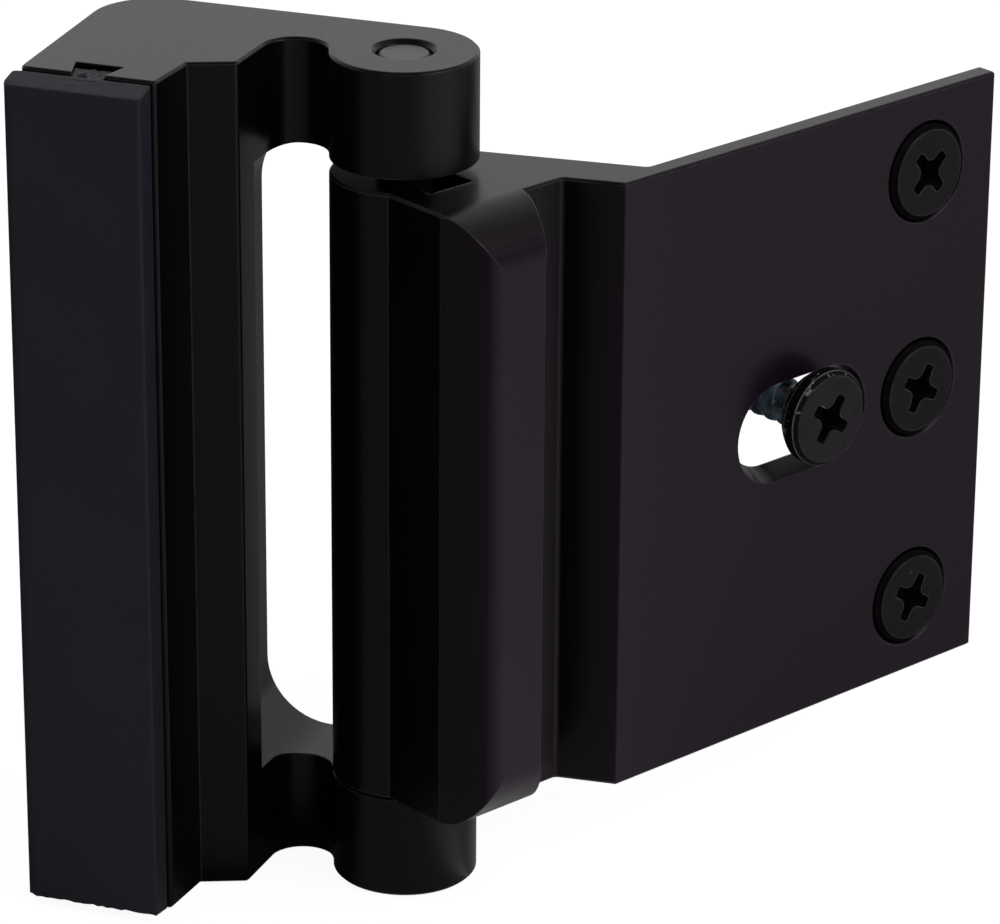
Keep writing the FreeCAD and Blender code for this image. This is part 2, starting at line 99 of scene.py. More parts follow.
# One sum, product or comparison of two values
def calculate(tree, operation, first, second=0.0, clamp=False):
    node = putNode(tree, "ShaderNodeMath", {0: first, 1: second}, operation=operation, use_clamp=clamp)
    return node.outputs[0]


# Carries the range between fromLow and fromHigh over to the one between low and high, and stops at its ends
def spread(tree, value, low, high, fromLow=0.0, fromHigh=1.0):
    node = putNode(tree, "ShaderNodeMapRange", {0: value, 1: fromLow, 2: fromHigh, 3: low, 4: high})
    return node.outputs[0]


# 1 for rays from the camera, off a shiny face or through glass, else 0
def seenOrMirrored(tree):
    path = putNode(tree, "ShaderNodeLightPath")
    seen = calculate(tree, "MAXIMUM", path.outputs["Is Camera Ray"], path.outputs["Is Glossy Ray"])
    return calculate(tree, "MAXIMUM", seen, path.outputs["Is Transmission Ray"])


studio = {
    "backdrop": 1.0,        # brightness for the camera, and for shiny faces on the backdrop's side
    "fill": 0.55,           # brightness for dull faces, from all round
    "floorHeight": -0.03765,
    "floorHalf": 3.0,       # half its side
    "floorColour": (0.82, 0.82, 0.83, 1),
    "floorGlow": 0.93,      # its brightness for the camera, before its dull share is added
    "floorDull": 0.16,      # the share of the floor's white that shadows can darken
    # the camera sees a white floor, and shiny faces a dimmer one, whose brightness goes by the direction
    "brightSide": 285.0,    # turn from +X, in degrees, where shiny faces find the floor brightest
    "brightCentre": (-0.045, 0.007, -0.03765),  # the place on the floor that the turn is taken round
    # from the far side to the bright side: place, and how bright the floor is in a shiny face
    "brightSteps": ((0.12, 0.02), (0.21, 0.30), (0.50, 0.33), (0.60, 0.37), (0.74, 0.35), (0.87, 0.42),
                    (0.935, 0.62), (0.975, 0.90), (1.0, 1.0)),
    "mirroredDull": 0.15,   # the share of that floor which shadows can darken
    "backdropSide": 48.0,   # turn from +X, in degrees, of the white backdrop; the room before it is dimmer
    "roomDim": 0.15,        # brightness of that room
    "roomFade": (0.45, 0.80),   # how far a direction agrees with the backdrop's, from dim to white
    "keyPlace": (0.15, -0.62, 0.52),
    "keySize": 0.45,
    "keyPower": 2.5,
}


# The camera sees a white backdrop, shiny faces see it on one side of a dimmer room, and dull faces get an
# even fill
def addWorld(look):
    world = bpy.data.worlds.new("whiteTent")
    bpy.context.scene.world = world
    world.use_nodes = True
    tree = world.node_tree
    tree.nodes.clear()
    dull = putNode(tree, "ShaderNodeBackground", {"Color": (1, 1, 1, 1), "Strength": look["fill"]})
    towards = agreement(tree, putNode(tree, "ShaderNodeTexCoord").outputs["Generated"], look["backdropSide"])
    mirrored = spread(tree, towards, look["roomDim"], look["backdrop"], *look["roomFade"])
    path = putNode(tree, "ShaderNodeLightPath")
    strength = putNode(tree, "ShaderNodeMix", {
        0: path.outputs["Is Camera Ray"], 2: mirrored, 3: look["backdrop"]}, data_type="FLOAT")
    white = putNode(tree, "ShaderNodeBackground", {"Color": (1, 1, 1, 1), "Strength": strength.outputs[0]})
    mix = putNode(tree, "ShaderNodeMixShader", {
        0: seenOrMirrored(tree), 1: dull.outputs[0], 2: white.outputs[0]})
    putNode(tree, "ShaderNodeOutputWorld", {"Surface": mix.outputs[0]})


# How far a direction agrees with a turn about the vertical: 1 along it, 0 against it
def agreement(tree, direction, degrees):
    turn = math.radians(degrees)
    side = putNode(tree, "ShaderNodeVectorMath", {0: direction, 1: (math.cos(turn), math.sin(turn), 0)},
                   operation="DOT_PRODUCT")
    return spread(tree, side.outputs["Value"], 0, 1, -1, 1)


# How bright the floor looks in a shiny face, by the turn away from the bright side
def glowBySide(tree, look):
    place = putNode(tree, "ShaderNodeTexCoord").outputs["Object"]
    away = putNode(tree, "ShaderNodeVectorMath", {0: place, 1: look["brightCentre"]}, operation="SUBTRACT")
    heading = putNode(tree, "ShaderNodeVectorMath", {0: away.outputs[0]}, operation="NORMALIZE")
    ramp = putNode(tree, "ShaderNodeValToRGB", {0: agreement(tree, heading.outputs[0], look["brightSide"])})
    steps = ramp.color_ramp.elements
    for step in look["brightSteps"][2:]:
        steps.new(0.5)      # a new ramp has two steps, and the places follow below
    for element, (position, value) in zip(steps, look["brightSteps"]):
        element.position = position
        element.color = (value, value, value, 1)
    return ramp.outputs[0]


# A large white floor: the camera sees it glow but for its shadows, shiny faces see it by the direction
def addFloor(look):
    half = look["floorHalf"]
    z = look["floorHeight"]
    mesh = bpy.data.meshes.new("floor")
    corners = [(-half, -half, z), (half, -half, z), (half, half, z), (-half, half, z)]
    mesh.from_pydata(corners, [], [(0, 1, 2, 3)])
    floor = bpy.data.objects.new("floor", mesh)
    bpy.context.scene.collection.objects.link(floor)
    material = bpy.data.materials.new("paleFloor")
    material.use_nodes = True
    tree = material.node_tree
    tree.nodes.clear()
    dull = putNode(tree, "ShaderNodeBsdfDiffuse", {"Color": look["floorColour"]})
    share = putNode(tree, "ShaderNodeBsdfDiffuse", {"Color": (look["floorDull"],) * 3 + (1,)})
    glow = putNode(tree, "ShaderNodeEmission", {"Color": (1, 1, 1, 1), "Strength": look["floorGlow"]})
    white = putNode(tree, "ShaderNodeAddShader", {0: share.outputs[0], 1: glow.outputs[0]})
    sided = glowBySide(tree, look)
    mirroredDull = putNode(tree, "ShaderNodeBsdfDiffuse", {"Color": sided})
    mirroredGlow = putNode(tree, "ShaderNodeEmission", {"Color": sided, "Strength": 1.0})
    mirrored = putNode(tree, "ShaderNodeMixShader", {
        0: look["mirroredDull"], 1: mirroredGlow.outputs[0], 2: mirroredDull.outputs[0]})
    path = putNode(tree, "ShaderNodeLightPath")
    shown = putNode(tree, "ShaderNodeMixShader", {
        0: path.outputs["Is Camera Ray"], 1: mirrored.outputs[0], 2: white.outputs[0]})
    mix = putNode(tree, "ShaderNodeMixShader", {
        0: seenOrMirrored(tree), 1: dull.outputs[0], 2: shown.outputs[0]})
    putNode(tree, "ShaderNodeOutputMaterial", {"Surface": mix.outputs[0]})
    mesh.materials.append(material)


def addKeyLight(look):
    data = bpy.data.lights.new("softKey", "AREA")
    data.shape = "SQUARE"
    data.size = look["keySize"]
    data.energy = look["keyPower"]
    light = bpy.data.objects.new("softKey", data)
    light.location = look["keyPlace"]
    light.rotation_euler = (-Vector(look["keyPlace"])).to_track_quat("-Z", "Y").to_euler()
    bpy.context.scene.collection.objects.link(light)


bpy.context.scene.view_settings.view_transform = "Standard"
addCamera(shot)
addWorld(studio)
addFloor(studio)
addKeyLight(studio)
print("studio ready")


# Effects that several finishes share

def startGroup(name, inputs, outputs):
    tree = bpy.data.node_groups.new(name, "ShaderNodeTree")
    for label, kind, value in inputs:
        tree.interface.new_socket(name=label, in_out="INPUT", socket_type=kind).default_value = value
    for label, kind in outputs:
        tree.interface.new_socket(name=label, in_out="OUTPUT", socket_type=kind)
    return tree, putNode(tree, "NodeGroupInput"), putNode(tree, "NodeGroupOutput")


# How far the rounded normal leaves the face's own one, broken up by noise: 1 on an edge, which the finishes
# lighten for wear and as a painted highlight
def makeEdgeWearAndHighlight(patchContrast=6.0):
    tree, given, result = startGroup(
        "edgeWearAndHighlight",
        [("Radius", "NodeSocketFloat", 0.0002), ("Reach", "NodeSocketFloat", 6.0),
         ("Patches", "NodeSocketFloat", 400.0), ("Gaps", "NodeSocketFloat", 0.4)],
        [("Mask", "NodeSocketFloat"), ("Normal", "NodeSocketVector")])
    bevel = putNode(tree, "ShaderNodeBevel", {"Radius": given.outputs["Radius"]}, samples=6)
    surface = putNode(tree, "ShaderNodeNewGeometry")
    alike = putNode(tree, "ShaderNodeVectorMath", {0: bevel.outputs[0], 1: surface.outputs["Normal"]},
                    operation="DOT_PRODUCT")
    apart = calculate(tree, "SUBTRACT", 1.0, alike.outputs["Value"])
    edge = calculate(tree, "MULTIPLY", apart, given.outputs["Reach"], clamp=True)
    coordinates = putNode(tree, "ShaderNodeTexCoord")
    noise = putNode(tree, "ShaderNodeTexNoise", {
        "Vector": coordinates.outputs["Object"], "Scale": given.outputs["Patches"],
        "Detail": 4.0, "Roughness": 0.6})
    above = calculate(tree, "SUBTRACT", noise.outputs[0], given.outputs["Gaps"])
    patch = calculate(tree, "MULTIPLY", above, patchContrast, clamp=True)
    tree.links.new(calculate(tree, "MULTIPLY", edge, patch), result.inputs["Mask"])
    tree.links.new(bevel.outputs[0], result.inputs["Normal"])
    return tree


# Fine pits everywhere, lines drawn along the length, and a slow change of tone
def makeFinishGrain(lineStretch=0.02):
    tree, given, result = startGroup(
        "finishGrain",
        [("Pits", "NodeSocketFloat", 5000.0), ("Lines", "NodeSocketFloat", 2600.0),
         ("LineShare", "NodeSocketFloat", 0.5), ("Clouds", "NodeSocketFloat", 90.0)],
        [("Height", "NodeSocketFloat"), ("Fleck", "NodeSocketFloat"), ("Cloud", "NodeSocketFloat")])
    coordinates = putNode(tree, "ShaderNodeTexCoord")
    place = coordinates.outputs["Object"]
    drawn = putNode(tree, "ShaderNodeMapping", {"Vector": place, "Scale": (1, 1, lineStretch)})
    pits = putNode(tree, "ShaderNodeTexNoise", {
        "Vector": place, "Scale": given.outputs["Pits"], "Detail": 2.0, "Roughness": 0.65})
    lines = putNode(tree, "ShaderNodeTexNoise", {
        "Vector": drawn.outputs[0], "Scale": given.outputs["Lines"], "Detail": 3.0, "Roughness": 0.6})
    clouds = putNode(tree, "ShaderNodeTexNoise", {
        "Vector": place, "Scale": given.outputs["Clouds"], "Detail": 3.0, "Roughness": 0.55})
    mixed = putNode(tree, "ShaderNodeMix", {
        0: given.outputs["LineShare"], 2: pits.outputs[0], 3: lines.outputs[0]}, data_type="FLOAT")
    tree.links.new(mixed.outputs[0], result.inputs["Height"])
    tree.links.new(pits.outputs[0], result.inputs["Fleck"])
    tree.links.new(clouds.outputs[0], result.inputs["Cloud"])
    return tree


# A few bright points: the cells of a net whose random value is high, near their centres only
def makeDust():
    tree, given, result = startGroup(
        "dust",
        [("Cells", "NodeSocketFloat", 260.0), ("Size", "NodeSocketFloat", 0.06),
         ("Rarity", "NodeSocketFloat", 0.93)],
        [("Mask", "NodeSocketFloat")])
    coordinates = putNode(tree, "ShaderNodeTexCoord")
    net = putNode(tree, "ShaderNodeTexVoronoi", {
        "Vector": coordinates.outputs["Object"], "Scale": given.outputs["Cells"]})
    apart = putNode(tree, "ShaderNodeSeparateColor", {0: net.outputs["Color"]})
    near = calculate(tree, "LESS_THAN", net.outputs["Distance"], given.outputs["Size"])
    chosen = calculate(tree, "GREATER_THAN", apart.outputs[0], given.outputs["Rarity"])
    tree.links.new(calculate(tree, "MULTIPLY", near, chosen), result.inputs["Mask"])
    return tree


edgeWearAndHighlight = makeEdgeWearAndHighlight()
finishGrain = makeFinishGrain()
dust = makeDust()


def useGroup(tree, group, **values):
    node = putNode(tree, "ShaderNodeGroup", node_tree=group)
    for name, value in values.items():
        node.inputs[name].default_value = value
    return node


def startFinish(name):
    material = bpy.data.materials.new(name)
    material.use_nodes = True
    tree = material.node_tree
    tree.nodes.clear()
    shader = putNode(tree, "ShaderNodeBsdfPrincipled")
    putNode(tree, "ShaderNodeOutputMaterial", {"Surface": shader.outputs[0]})
    return material, tree, shader


def mixColour(tree, share, first, second):
    node = putNode(tree, "ShaderNodeMix", {0: share, 6: first, 7: second}, data_type="RGBA")
    return node.outputs[2]


# 1 on faces that stand before the given depth and are turned to the room, fading as they turn away: where the
# painted sheen goes
def frontMask(tree, depth, turnedFrom=0.6, turnedTo=0.95):
    coordinates = putNode(tree, "ShaderNodeTexCoord")
    place = putNode(tree, "ShaderNodeSeparateXYZ", {0: coordinates.outputs["Object"]})
    facing = putNode(tree, "ShaderNodeVectorMath", {0: coordinates.outputs["Normal"], 1: (0, -1, 0)},
                     operation="DOT_PRODUCT")
    turned = spread(tree, facing.outputs["Value"], 0, 1, turnedFrom, turnedTo)
    return calculate(tree, "MULTIPLY", turned, calculate(tree, "LESS_THAN", place.outputs["Y"], depth))


# Finishes

# Between which of a noise's values each effect goes from none to full
cloudRange = (0.35, 0.65)
fleckRange = (0.60, 0.75)
roughRange = (0.30, 0.70)


# A dark finish: base and cloud colour, a painted violet sheen on front faces where given, edges lightened by
# wear and by a painted highlight, dust, and pits or drawn lines in the surface
def makeFinish(name, look):
    material, tree, shader = startFinish(name)
    grain = useGroup(tree, finishGrain, Pits=look["pits"], Lines=look["lines"], LineShare=look["lineShare"],
                     Clouds=look["clouds"])
    wearAndHighlight = useGroup(tree, edgeWearAndHighlight, Radius=look["edge"], Reach=look["edgeReach"], Patches=look["patches"],
                    Gaps=look["gaps"])
    clouded = spread(tree, grain.outputs["Cloud"], 0, 1, *cloudRange)
    colour = mixColour(tree, clouded, look["colour"] + (1,), look["cloudColour"] + (1,))
    # a painted violet sheen, lightening the faces turned to the room
    if "paintedSheenColour" in look:
        colour = mixColour(tree, frontMask(tree, look["paintedSheenFrom"]), colour, look["paintedSheenColour"] + (1,))
    flecked = spread(tree, grain.outputs["Fleck"], 0, 1, *fleckRange)
    colour = mixColour(tree, calculate(tree, "MULTIPLY", flecked, look["fleckShare"]), colour,
                       look["fleckColour"] + (1,))
    edgeWearAndHighlightMask = calculate(tree, "MULTIPLY", wearAndHighlight.outputs["Mask"], look["edgeWearAndHighlightShare"])
    colour = mixColour(tree, edgeWearAndHighlightMask, colour, look["edgeWearAndHighlightColour"] + (1,))
    specks = useGroup(tree, dust, Cells=look["dustCells"], Size=look["dustSize"], Rarity=look["dustRarity"])
    marks = calculate(tree, "MULTIPLY", specks.outputs[0], look["dustShare"])
    colour = mixColour(tree, marks, colour, look["dustColour"] + (1,))
    tree.links.new(colour, shader.inputs["Base Color"])
    rough = spread(tree, grain.outputs["Height"], look["rough"] - look["roughSpread"],
                   look["rough"] + look["roughSpread"], *roughRange)
    tree.links.new(rough, shader.inputs["Roughness"])
    if "wornMetal" in look:
        tree.links.new(calculate(tree, "MULTIPLY", edgeWearAndHighlightMask, look["wornMetal"]), shader.inputs["Metallic"])
    shader.inputs["Specular IOR Level"].default_value = look["shine"]
    shader.inputs["Specular Tint"].default_value = look["tint"] + (1,)
    bump = putNode(tree, "ShaderNodeBump", {
        "Strength": look["bump"], "Distance": look["bumpDepth"], "Height": grain.outputs["Height"],
        "Normal": wearAndHighlight.outputs["Normal"]})
    tree.links.new(bump.outputs[0], shader.inputs["Normal"])
    return material


anodised = {
    "colour": (0.0009, 0.0008, 0.0010),
    "cloudColour": (0.0016, 0.0014, 0.0016),
    "fleckColour": (0.010, 0.010, 0.011),
    "fleckShare": 0.20,
    "pits": 5200.0,
    "lines": 2400.0,
    "lineShare": 0.45,
    "clouds": 70.0,
    "edge": 0.00020,
    "edgeReach": 16.0,
    "patches": 420.0,
    "gaps": 0.30,
    # the lightened edges are partly wear and partly a painted highlight along them
    "edgeWearAndHighlightShare": 0.7,
    "edgeWearAndHighlightColour": (0.048, 0.046, 0.051),
    "dustCells": 160.0,
    "dustSize": 0.02,
    "dustRarity": 0.90,
    "dustShare": 0.35,
    "dustColour": (0.10, 0.10, 0.10),
    "rough": 0.30,
    "roughSpread": 0.04,
    "shine": 0.20,
    "tint": (1.0, 0.80, 1.0),
    "bump": 0.12,
    "bumpDepth": 0.00002,
}

bracketLook = dict(
    anodised,
    paintedSheenColour=(0.0080, 0.0036, 0.0088),    # painted violet sheen, on the faces turned to the room
    paintedSheenFrom=-0.0015,       # depth, in metres, before which faces have it
)
blackAnodised = makeFinish("blackAnodised", bracketLook)

armLook = dict(
    anodised,
    tint=(0.96, 0.94, 1.0),
    edgeWearAndHighlightShare=0.45,
)
armAnodised = makeFinish("armAnodised", armLook)

rubber = dict(
    anodised,
    colour=(0.0140, 0.0132, 0.0190),
    cloudColour=(0.0155, 0.0146, 0.0212),
    lineShare=0.0,
    pits=4200.0,
    edgeWearAndHighlightShare=0.25,
    rough=0.50,
    roughSpread=0.05,
    shine=0.15,
    tint=(0.92, 0.88, 1.0),
    bump=0.20,
)
padRubber = makeFinish("padRubber", rubber)

blackScrew = dict(
    anodised,
    colour=(0.0022, 0.0020, 0.0024),
    cloudColour=(0.0036, 0.0034, 0.0037),
    lineShare=0.0,
    pits=6500.0,
    clouds=500.0,
    edge=0.00018,
    # a painted highlight ring on the head's edges, spread wide
    edgeReach=24.0,
    patches=1400.0,
    edgeWearAndHighlightShare=0.8,
    edgeWearAndHighlightColour=(0.070, 0.065, 0.072),
    rough=0.38,
    shine=0.15,
    tint=(1.0, 0.85, 1.0),
    bump=0.25,
)
screwBlack = makeFinish("screwBlack", blackScrew)

wornHead = dict(
    blackScrew,
    colour=(0.0058, 0.0050, 0.0066),
    cloudColour=(0.0090, 0.0080, 0.0100),
    edge=0.00016,
    edgeReach=10.0,
    patches=1700.0,
    gaps=0.50,
    edgeWearAndHighlightColour=(0.42, 0.43, 0.45),
    wornMetal=0.5,
    shine=0.17,
)
screwHandled = makeFinish("screwHandled", wornHead)

# Darker and duller in the recess and under the head: the darker colour is painted shade
dullShade = dict(
    blackScrew,
    colour=(0.0012, 0.0011, 0.0012),
    cloudColour=(0.0018, 0.0017, 0.0018),
    fleckShare=0.08,
    edgeWearAndHighlightShare=0.10,
    rough=0.75,
    shine=0.05,
)
screwDullShade = makeFinish("screwDullShade", dullShade)

# The same painted shade under the handled screw's head, with light scraped streaks
scrapedShade = dict(
    dullShade,
    fleckColour=(0.35, 0.37, 0.39),
    fleckShare=0.55,
    pits=900.0,
    edgeWearAndHighlightShare=0.6,
    edgeWearAndHighlightColour=(0.30, 0.31, 0.33),
    shine=0.12,
)
screwScraped = makeFinish("screwScraped", scrapedShade)

zinc = dict(
    anodised,
    colour=(0.0040, 0.0100, 0.0140),
    cloudColour=(0.034, 0.082, 0.108),
    fleckColour=(0.26, 0.30, 0.33),
    fleckShare=0.8,
    lineShare=0.0,
    pits=1300.0,
    clouds=520.0,
    edge=0.00015,
    edgeWearAndHighlightColour=(0.30, 0.34, 0.37),
    edgeWearAndHighlightShare=0.6,
    wornMetal=0.9,
    rough=0.36,
    shine=0.3,
    bump=0.3,
)
screwZinc = makeFinish("screwZinc", zinc)

pinMetal = dict(
    anodised,
    colour=(0.0050, 0.0050, 0.0055),
    cloudColour=(0.0090, 0.0090, 0.0095),
    lineShare=0.2,
    clouds=600.0,
    edge=0.00015,
    edgeWearAndHighlightShare=0.8,
    edgeWearAndHighlightColour=(0.06, 0.06, 0.065),
    rough=0.36,
    tint=(1.0, 1.0, 1.0),
    shine=0.42,
)
pinSteel = makeFinish("pinSteel", pinMetal)

leafMetal = dict(
    anodised,
    colour=(0.10, 0.10, 0.105),
    cloudColour=(0.16, 0.16, 0.165),
    lineShare=0.8,
    edgeWearAndHighlightColour=(0.35, 0.35, 0.35),
    rough=0.33,
    shine=0.5,
)
springSteel = makeFinish("springSteel", leafMetal)
print("finishes ready")


# New pieces

# Puts worked-out points and faces into one mesh, smooth but for edges sharper than the angle
def makePiece(name, points, faces, materials, body, replaced, sharp=50.0, faceFinish=None):
    mesh = bpy.data.meshes.new(name)
    mesh.from_pydata(points.tolist(), [], faces)
    mesh.validate()
    mesh.polygons.foreach_set("use_smooth", np.ones(len(mesh.polygons), bool))
    mesh.set_sharp_from_angle(angle=math.radians(sharp))
    for material in materials:
        mesh.materials.append(material)
    if faceFinish is not None:
        mesh.polygons.foreach_set("material_index", faceFinish)
    mesh.update()
    piece = bpy.data.objects.new(name, mesh)
    bpy.context.scene.collection.objects.link(piece)
    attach(piece, body)
    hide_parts(replaced)
    return piece


# Quads between closed rings of points, ring after ring, each with its last column joined to its first
def loopFaces(rows, columns):
    row, column = np.meshgrid(np.arange(rows - 1), np.arange(columns), indexing="ij")
    after = (column + 1) % columns
    quads = np.stack([row * columns + column, row * columns + after, (row + 1) * columns + after,
                      (row + 1) * columns + column], axis=-1)
    return quads.reshape(-1, 4).tolist()


# Triangles from one point to a ring
def poleFaces(pole, ringStart, columns, flip):
    column = np.arange(columns)
    after = (column + 1) % columns
    near, far = (after, column) if flip else (column, after)
    return np.stack([np.full(columns, pole), ringStart + near, ringStart + far], axis=-1).tolist()


# All faces of a row of rings that closes at either end on a pole; the two poles are the last points
def closedFaces(rows, columns, flip=False):
    quads = loopFaces(rows, columns)
    if flip:
        quads = [face[::-1] for face in quads]
    first = poleFaces(rows * columns, 0, columns, not flip)
    last = poleFaces(rows * columns + 1, (rows - 1) * columns, columns, flip)
    return quads + first + last


# lengths in millimetres, angles in degrees
woodScrew = {
    "headRadius": 4.375,
    "rimHeight": 0.90,
    "faceRadius": 3.88,
    "faceEdge": 0.14,
    "shoulderDepth": 0.42,  # the face's bevel reaches the rim here
    "underBulge": 1.0,      # below 1 the cone under the head swells
    "neckDepth": 3.53,
    "headAngle": 82.0,
    "crestRadius": 2.085,
    "coreRadius": 1.60,
    "threadPitch": 1.65,
    "length": 16.0,
    "pointLength": 4.0,
    "tipRadius": 0.12,
    "threadFade": 0.6,      # how far before the tip the thread runs out
    "ridgeRise": 1.15,      # above 1 the thread's crest is flat
    "flankWidth": 0.27,     # width of each of its flanks, as a share of the pitch
    "crossSpan": 4.5,
    "crossWidth": 1.08,
    "crossFillet": 0.80,
    "crossDepth": 2.0,
    "crossEdge": 0.12,
    "floorSpan": 0.42,      # the recess's floor, as shares of its mouth
    "floorWidth": 0.70,
    "floorFillet": 0.5,
    "floorRise": 0.12,      # the floor's edge is this much higher than its middle
    "threadSteps": 14,
}


# Angles of evenly set points along the ends and sides of a cross's four arms
def crossAngles(halfSpan, halfWidth, steps=9):
    end = np.arctan(np.linspace(0, halfWidth, steps, endpoint=False) / halfSpan)
    side = np.arctan(halfWidth / np.linspace(halfSpan, halfWidth, steps, endpoint=False))
    eighth = np.concatenate([end, side])
    quarter = np.concatenate([eighth, math.pi / 2 - np.concatenate([[math.pi / 4], eighth[:0:-1]])])
    return (quarter[None, :] + np.arange(4)[:, None] * math.pi / 2).ravel()


# Distance from the middle to a cross's outline: the arm's side, or the round between two arms where the angle
# is wide, joined softly to the arm's end by adding their inverses to a high power
def crossRadius(angles, halfSpan, halfWidth, fillet, power=9.0):
    turn = np.abs((angles + math.pi / 4) % (math.pi / 2) - math.pi / 4)
    both = np.cos(turn) + np.sin(turn)
    middle = halfWidth + fillet
    inside = np.maximum((middle * both) ** 2 - 2 * middle ** 2 + fillet ** 2, 0)
    side = np.where(np.tan(turn) > halfWidth / middle, middle * both - np.sqrt(inside),
                    halfWidth / np.maximum(np.sin(turn), 1e-6))     # never divided by nothing
    return ((halfSpan / np.cos(turn)) ** -power + side ** -power) ** (-1 / power)


# The recess: rings from its middle over the floor, then up the walls to just under the mouth
def recessRings(look, mouth, floor, floorShares=(0.35, 0.7), wallSteps=9):
    ones = np.ones_like(mouth)
    depth = look["crossDepth"]
    rise = look["floorRise"]
    rings = [(floor * share, (rise * share - depth) * ones) for share in floorShares]
    for share in np.linspace(0, 1, wallSteps):
        level = rise - depth + share * (depth - rise - look["crossEdge"])
        rings.append((floor + (mouth - floor) * share, level * ones))
    return rings


# The face: rings over the recess's rounded edge, across the flat, and over the bevel
def faceRings(look, mouth, edgeLeans=(30, 60, 90), flatSteps=7, bevelLeans=(20, 40, 60)):
    ones = np.ones_like(mouth)
    edge = look["crossEdge"]
    face = look["faceRadius"]
    bevel = look["faceEdge"]
    rings = []
    for lean in np.radians(edgeLeans):
        rings.append((mouth + edge * (1 - np.cos(lean)), (np.sin(lean) - 1) * edge * ones))
    for share in np.linspace(0, 1, flatSteps)[1:]:
        rings.append((mouth + edge + (face - mouth - edge) * share, 0 * ones))
    for lean in np.radians(bevelLeans):
        rings.append(((face + bevel * np.sin(lean)) * ones, (np.cos(lean) - 1) * bevel * ones))
    return rings


# Under the head: rings from the rim down a cone, which may swell, to the neck
def coneRings(look, ones, coneSteps=9):
    rim = look["headRadius"]
    crest = look["crestRadius"]
    rings = [(rim * ones, -look["shoulderDepth"] * ones), (rim * ones, -look["rimHeight"] * ones)]
    for share in np.linspace(0, 1, coneSteps)[1:-1]:
        swell = (1 - share) ** look["underBulge"]
        level = look["rimHeight"] + (look["neckDepth"] - look["rimHeight"]) * share
        rings.append(((crest + (rim - crest) * swell) * ones, -level * ones))
    return rings


# The shank: a core with a ridge whose height follows the angle, both drawn in towards the point. At the neck
# the cone under the head ends where the thread stands out of it.
def shankRings(look, angles):
    pitch = look["threadPitch"]
    neck = look["neckDepth"]
    tip = look["tipRadius"]
    down = np.arange(neck, look["length"], pitch / look["threadSteps"])
    taper = np.clip((look["length"] - down) / look["pointLength"], 0, 1)
    root = tip + (look["coreRadius"] - tip) * taper
    crest = tip + (look["crestRadius"] - tip) * taper
    fade = np.clip((look["length"] - down) / look["threadFade"], 0, 1)
    phase = (-down[:, None] / pitch - angles[None, :] / (2 * math.pi)) % 1
    ridge = np.clip(look["ridgeRise"] - np.abs(phase - 0.5) / look["flankWidth"], 0, 1)
    thread = root[:, None] + ((crest - root) * fade)[:, None] * ridge
    slope = math.tan(math.radians(look["headAngle"] / 2))
    cone = (look["crestRadius"] - (down - neck) * slope)[:, None]
    radius = np.maximum(thread, np.minimum(cone, look["crestRadius"]))
    return radius, -down[:, None] * np.ones_like(angles)


# Rings round the screw's axis from the recess's floor over the head to the tip: each ring has a radius and a
# height for every angle. The turn is the recess's, in degrees from +X.
def makeScrew(name, look, place, turn, finishes, replaced):
    halfSpan = look["crossSpan"] / 2
    halfWidth = look["crossWidth"] / 2
    fillet = look["crossFillet"]
    angles = crossAngles(halfSpan, halfWidth)
    mouth = crossRadius(angles, halfSpan, halfWidth, fillet)
    floor = crossRadius(angles, halfSpan * look["floorSpan"], halfWidth * look["floorWidth"],
                        fillet * look["floorFillet"])
    recess = recessRings(look, mouth, floor)
    front = faceRings(look, mouth)
    rings = recess + front + coneRings(look, np.ones_like(angles))
    shankRadius, shankHeight = shankRings(look, angles)
    radius = np.concatenate([np.array([ring[0] for ring in rings]), shankRadius])
    height = np.concatenate([np.array([ring[1] for ring in rings]), shankHeight])
    rows, columns = radius.shape
    turned = angles + math.radians(turn)
    across = radius * np.cos(turned)
    upward = radius * np.sin(turned)
    x, y, z = place
    body = np.stack([x + across * mm, y - height * mm, z + upward * mm], axis=-1).reshape(-1, 3)
    poles = np.array([(x, y + look["crossDepth"] * mm, z), (x, y + look["length"] * mm, z)])
    faces = closedFaces(rows, columns, flip=True)

    # finish 0 on the face, 1 in the recess, 2 under the head, 3 on the thread
    finish = np.zeros(len(faces), np.int32)
    finish[:(len(recess) + 1) * columns] = 1
    finish[(len(recess) + len(front) - 1) * columns:] = 2
    finish[(len(rings) - 1) * columns:(rows - 1) * columns] = 3
    finish[(rows - 1) * columns:rows * columns] = 1
    finish[rows * columns:] = 3
    makePiece(name, np.concatenate([body, poles]), faces, finishes, "bracket", replaced,
              sharp=30.0, faceFinish=finish)


# finishes of the face, the recess, under the head, and the thread
newScrew = (screwBlack, screwDullShade, screwDullShade, screwZinc)
usedScrew = (screwHandled, screwDullShade, screwScraped, screwZinc)
slotLook = dict(woodScrew, rimHeight=1.5, underBulge=0.55, neckDepth=3.48)
# where the middle of each face is, in metres, how far its recess is turned, and the node it replaces
screws = {
    "jambScrewTop": (woodScrew, (0.0, -0.00247, 0.0206), 40, newScrew, "jamb_screw_top"),
    "jambScrewMiddle": (woodScrew, (0.0, -0.00247, 0.0), 61, newScrew, "jamb_screw_middle"),
    "jambScrewBottom": (woodScrew, (0.0, -0.00247, -0.0206), 60, newScrew, "jamb_screw_bottom"),
    "slotScrew": (slotLook, (-0.0146, -0.0055, 0.001915), 55, usedScrew, "slot_screw"),
}
for name, values in screws.items():
    makeScrew(name, *values)
print("screws ready")


# The arm's own directions: a along its length from the hinge, b out of its pad face

armTurn = math.radians(119.5)
hingeAxis = np.array((-0.0482, 0.0128))     # x and y, in metres


def onArm(a, b, z):
    x = hingeAxis[0] + (a * math.cos(armTurn) - b * math.sin(armTurn)) * mm
    y = hingeAxis[1] + (a * math.sin(armTurn) + b * math.cos(armTurn)) * mm
    return np.stack([x, y, z * mm], axis=-1)


